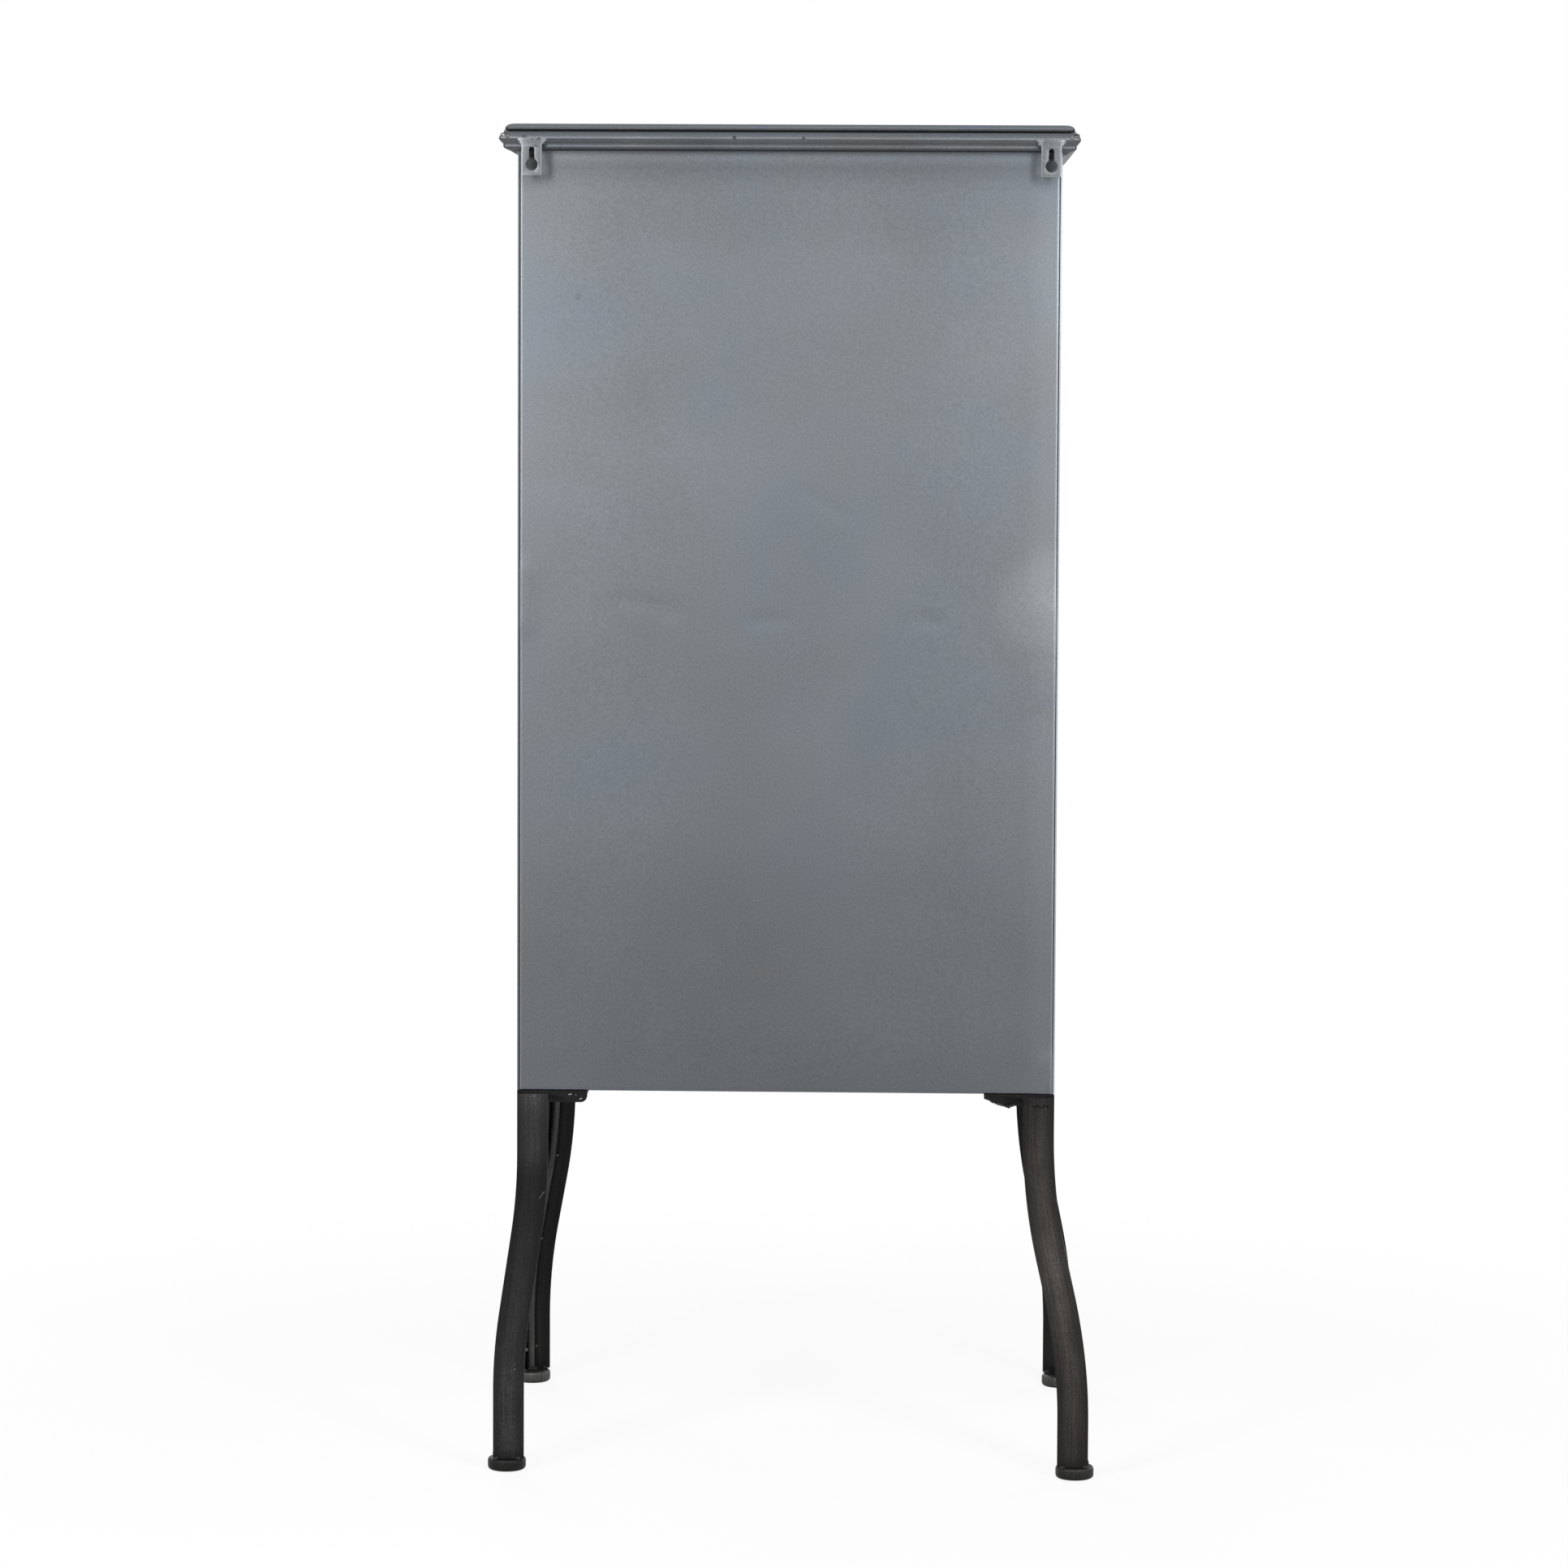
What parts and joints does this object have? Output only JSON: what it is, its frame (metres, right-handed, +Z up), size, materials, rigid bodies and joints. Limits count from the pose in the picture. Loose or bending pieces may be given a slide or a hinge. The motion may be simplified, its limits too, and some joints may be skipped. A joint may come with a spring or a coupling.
{
  "type": "drawer cabinet",
  "caption": "Tall narrow sheet-steel drawer cabinet on splayed angle-iron legs, with a moulded cornice, full-width sliding drawers and keyhole wall hangers.",
  "frame": {"origin": "floor level, below the middle of the case", "axes": "+Z up; the drawers open towards -Y, the back panel faces +Y, +X is the cabinet's right side seen from the front"},
  "size_m": [0.499, 0.4079, 1.0905],
  "materials": {
    "case_steel": "bare sheet steel, brushed down and clear lacquered",
    "trim_steel": "pressed steel, clear lacquered, brazed at the corners",
    "inner_steel": "plain folded sheet steel",
    "blackened_iron": "blackened and brush-streaked angle iron",
    "pull_steel": "pressed steel, worn bright at the lip",
    "zinc_fixings": "dull zinc plate",
    "card": "blank aged card"
  },
  "bodies": {
    "cabinet": {"back_panel": "case_steel", "bottom_panel": "case_steel", "bottom_rail": "case_steel", "corner_brackets": "blackened_iron", "cornice_front": "trim_steel", "cornice_left": "trim_steel", "cornice_rear": "trim_steel", "cornice_right": "trim_steel", "drawer_stops": "inner_steel", "foot_front_left": "blackened_iron", "foot_front_right": "blackened_iron", "foot_rear_left": "blackened_iron", "foot_rear_right": "blackened_iron", "front_rails": "case_steel", "hanger_left": "trim_steel", "hanger_right": "trim_steel", "leg_bolts": "zinc_fixings", "leg_front_left": "blackened_iron", "leg_front_right": "blackened_iron", "leg_nuts": "zinc_fixings", "leg_rear_left": "blackened_iron", "leg_rear_right": "blackened_iron", "leg_rods": "blackened_iron", "runners_left": "inner_steel", "runners_right": "inner_steel", "side_panel_left": "case_steel", "side_panel_right": "case_steel", "top_panel": "case_steel", "top_rail": "case_steel"},
    "drawer_1": {"drawer_1_card": "card", "drawer_1_fixings": "zinc_fixings", "drawer_1_front": "case_steel", "drawer_1_pull": "pull_steel", "drawer_1_tray": "inner_steel"},
    "drawer_2": {"drawer_2_card": "card", "drawer_2_fixings": "zinc_fixings", "drawer_2_front": "case_steel", "drawer_2_pull": "pull_steel", "drawer_2_tray": "inner_steel"},
    "drawer_3": {"drawer_3_card": "card", "drawer_3_fixings": "zinc_fixings", "drawer_3_front": "case_steel", "drawer_3_pull": "pull_steel", "drawer_3_tray": "inner_steel"},
    "drawer_4": {"drawer_4_card": "card", "drawer_4_fixings": "zinc_fixings", "drawer_4_front": "case_steel", "drawer_4_pull": "pull_steel", "drawer_4_tray": "inner_steel"},
    "drawer_5": {"drawer_5_card": "card", "drawer_5_fixings": "zinc_fixings", "drawer_5_front": "case_steel", "drawer_5_pull": "pull_steel", "drawer_5_tray": "inner_steel"},
    "drawer_6": {"drawer_6_card": "card", "drawer_6_fixings": "zinc_fixings", "drawer_6_front": "case_steel", "drawer_6_pull": "pull_steel", "drawer_6_tray": "inner_steel"}
  },
  "joints": [
    {"name": "drawer_1_slide", "type": "slide", "parent": "cabinet", "child": "drawer_1", "axis": [0, -1, 0], "range_m": [0, 0.24]},
    {"name": "drawer_2_slide", "type": "slide", "parent": "cabinet", "child": "drawer_2", "axis": [0, -1, 0], "range_m": [0, 0.24]},
    {"name": "drawer_3_slide", "type": "slide", "parent": "cabinet", "child": "drawer_3", "axis": [0, -1, 0], "range_m": [0, 0.24]},
    {"name": "drawer_4_slide", "type": "slide", "parent": "cabinet", "child": "drawer_4", "axis": [0, -1, 0], "range_m": [0, 0.24]},
    {"name": "drawer_5_slide", "type": "slide", "parent": "cabinet", "child": "drawer_5", "axis": [0, -1, 0], "range_m": [0, 0.24]},
    {"name": "drawer_6_slide", "type": "slide", "parent": "cabinet", "child": "drawer_6", "axis": [0, -1, 0], "range_m": [0, 0.24]}
  ]
}
